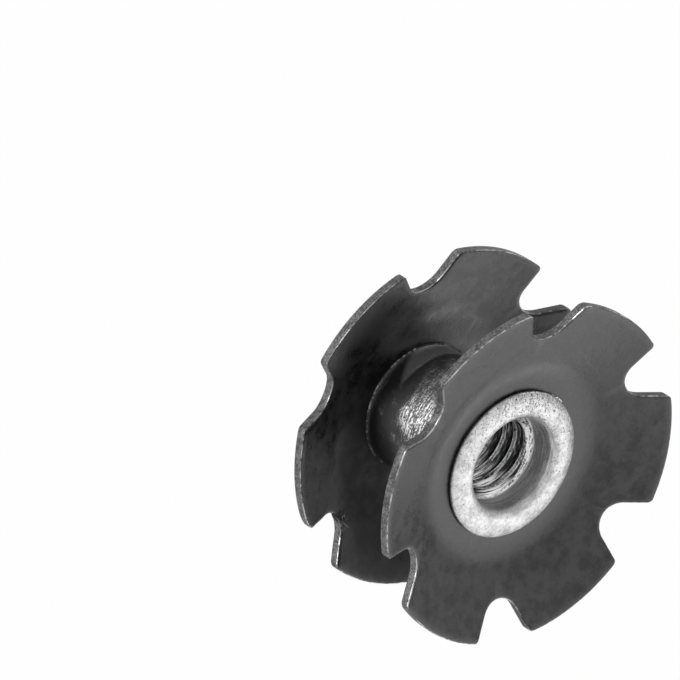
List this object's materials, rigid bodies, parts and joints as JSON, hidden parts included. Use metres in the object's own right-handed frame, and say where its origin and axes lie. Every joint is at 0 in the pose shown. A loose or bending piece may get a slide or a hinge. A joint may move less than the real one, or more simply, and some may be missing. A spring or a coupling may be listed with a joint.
{
  "type": "star nut",
  "caption": "Star-shaped press-in nut: dished spring-steel stars riveted on a threaded sleeve, driven into a tube so that a bolt can pull on it.",
  "frame": {"origin": "centre of the flat foot of the lower collar, on the axis of the thread", "axes": "+Z along the thread axis, towards the side that the bolt comes in from and the side that both stars dish towards; +X through the middle of one lobe of the upper star"},
  "size_m": [0.0232, 0.0232, 0.0125],
  "materials": {
    "dark_spring_steel": "black oxide, satin, worn bright at the face edges",
    "zinc_plated_steel": "bright zinc plate, finely scratched"
  },
  "bodies": {
    "root": {"upper_star": "dark_spring_steel", "lower_star": "dark_spring_steel", "threaded_sleeve": "zinc_plated_steel"}
  },
  "joints": []
}
